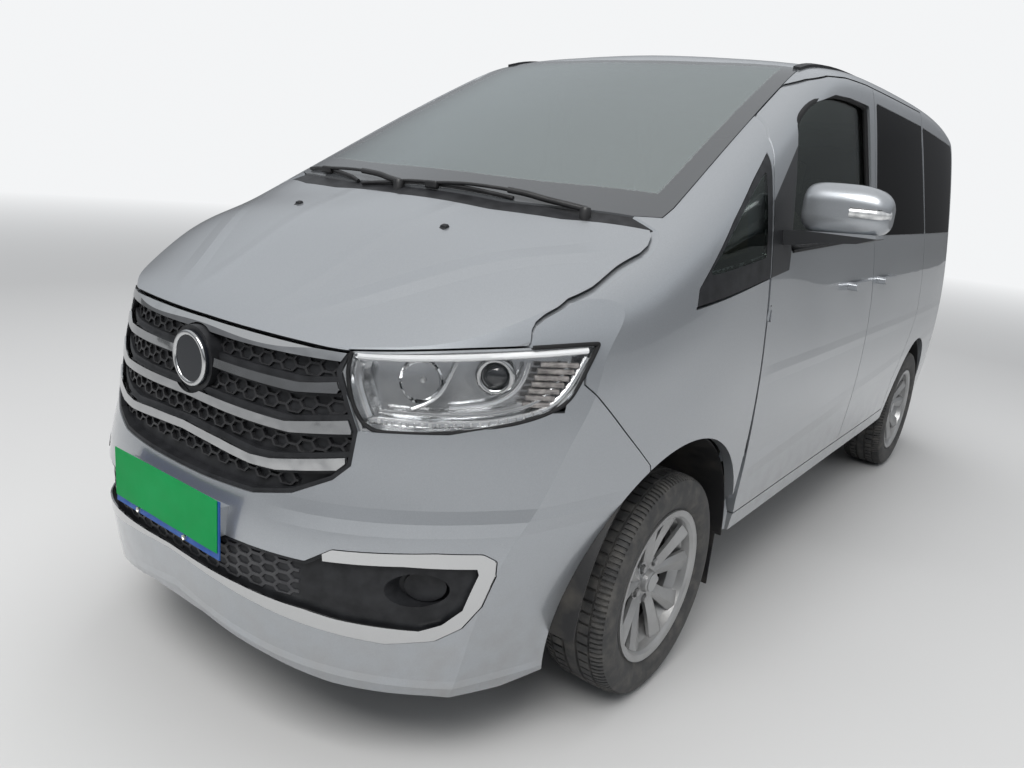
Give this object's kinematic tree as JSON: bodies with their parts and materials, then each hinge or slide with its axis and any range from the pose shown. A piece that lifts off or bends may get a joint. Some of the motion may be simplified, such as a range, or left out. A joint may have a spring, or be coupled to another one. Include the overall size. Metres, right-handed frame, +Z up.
{
  "type": "minivan",
  "caption": "Silver minivan with short sloping bonnet, honeycomb grille with chrome bars, dark rear glass and alloy wheels; doors, bonnet and tailgate open, wheels roll and steer.",
  "frame": {"origin": "on the ground, under the middle of the van", "axes": "+Y towards the tail, -Y towards the nose, +X to the van's left side, +Z up"},
  "size_m": [2.22, 4.6453, 1.9063],
  "materials": {
    "paint": "silver metallic lacquer",
    "bumper_paint": "silver metallic lacquer",
    "clear_lens": "clear",
    "lamp_housing": "bright and dark mouldings",
    "grille_black": "satin black",
    "chrome_trim": "polished",
    "plate_green": "gloss, blank",
    "black_trim": "satin",
    "gloss_trim": "gloss black",
    "grey_trim": "satin grey",
    "tinted_glass": "light tint",
    "dark_glass": "dark tint",
    "red_lens": "gloss red",
    "liner_black": "matt",
    "floor_paint": "underseal",
    "engine_metal": "cast",
    "chassis_black": "satin black",
    "exhaust_steel": "dulled",
    "knuckle_iron": "cast",
    "dash_plastic": "grained",
    "wheel_plastic": "grained",
    "seat_cloth": "beige cloth",
    "mirror_paint": "silver cap on a black foot",
    "alloy": "silver lacquer",
    "tyre_rubber": "matt rubber"
  },
  "bodies": {
    "body": {"arch_liners": "liner_black", "badge": "chrome_trim", "cowl_panel": "black_trim", "dashboard": "dash_plastic", "engine_block": "engine_metal", "exhaust": "exhaust_steel", "floor_pan": "floor_paint", "fog_bezels": "chrome_trim", "front_bumper": "bumper_paint", "front_fender_left": "paint", "front_fender_right": "paint", "front_seats": "seat_cloth", "front_subframe": "chassis_black", "grille": "grille_black", "grille_bars": "chrome_trim", "headlamps": "lamp_housing", "lamp_lenses": "clear_lens", "lower_intake": "grille_black", "number_plate": "plate_green", "privacy_glass": "dark_glass", "quarter_glass": "tinted_glass", "quarter_trim": "gloss_trim", "rear_axle": "chassis_black", "rear_bumper": "bumper_paint", "rear_seats": "seat_cloth", "roof_panel": "paint", "roof_strips": "grey_trim", "side_frame_left": "paint", "side_frame_right": "paint", "sliding_door_left": "paint", "sliding_door_right": "paint", "steering_wheel": "wheel_plastic", "tail_lamps": "red_lens", "windscreen": "tinted_glass", "wipers": "black_trim"},
    "bonnet": {"bonnet": "paint"},
    "front_door_left": {"door_glass_left": "tinted_glass", "front_door_left": "paint", "mirror_left": "mirror_paint"},
    "front_door_right": {"door_glass_right": "tinted_glass", "front_door_right": "paint", "mirror_right": "mirror_paint"},
    "knuckle_left": {"knuckle_left": "knuckle_iron"},
    "knuckle_right": {"knuckle_right": "knuckle_iron"},
    "tailgate": {"tailgate": "paint", "tailgate_glass": "dark_glass"},
    "wheel_front_left": {"tyre_front_left": "tyre_rubber", "wheel_front_left": "alloy"},
    "wheel_front_right": {"tyre_front_right": "tyre_rubber", "wheel_front_right": "alloy"},
    "wheel_rear_left": {"tyre_rear_left": "tyre_rubber", "wheel_rear_left": "alloy"},
    "wheel_rear_right": {"tyre_rear_right": "tyre_rubber", "wheel_rear_right": "alloy"}
  },
  "joints": [
    {"name": "steer_left", "type": "hinge", "parent": "body", "child": "knuckle_left", "pos_m": [0.687, -1.34, 0.32], "axis": [0, 0, 1], "range_deg": [-34, 34]},
    {"name": "steer_right", "type": "hinge", "parent": "body", "child": "knuckle_right", "pos_m": [-0.687, -1.34, 0.32], "axis": [0, 0, 1], "range_deg": [-34, 34]},
    {"name": "spin_front_left", "type": "hinge", "parent": "knuckle_left", "child": "wheel_front_left", "pos_m": [0.745, -1.34, 0.32], "axis": [1, 0, 0], "continuous": true},
    {"name": "spin_front_right", "type": "hinge", "parent": "knuckle_right", "child": "wheel_front_right", "pos_m": [-0.745, -1.34, 0.32], "axis": [1, 0, 0], "continuous": true},
    {"name": "spin_rear_left", "type": "hinge", "parent": "body", "child": "wheel_rear_left", "pos_m": [0.745, 1.47, 0.32], "axis": [1, 0, 0], "continuous": true},
    {"name": "spin_rear_right", "type": "hinge", "parent": "body", "child": "wheel_rear_right", "pos_m": [-0.745, 1.47, 0.32], "axis": [1, 0, 0], "continuous": true},
    {"name": "front_door_left_swing", "type": "hinge", "parent": "body", "child": "front_door_left", "pos_m": [0.85, -0.905, 0.845], "axis": [0, 0, -1], "range_deg": [0, 66]},
    {"name": "front_door_right_swing", "type": "hinge", "parent": "body", "child": "front_door_right", "pos_m": [-0.85, -0.905, 0.845], "axis": [0, 0, 1], "range_deg": [0, 66]},
    {"name": "bonnet_lift", "type": "hinge", "parent": "body", "child": "bonnet", "pos_m": [0, -1.425, 1.322], "axis": [-1, 0, 0], "range_deg": [0, 45]},
    {"name": "tailgate_lift", "type": "hinge", "parent": "body", "child": "tailgate", "pos_m": [0, 1.9945, 1.86], "axis": [1, 0, 0], "range_deg": [0, 85]}
  ],
  "couplings": [
    {"joint": "steer_right", "follows": "steer_left", "ratio": 1}
  ]
}
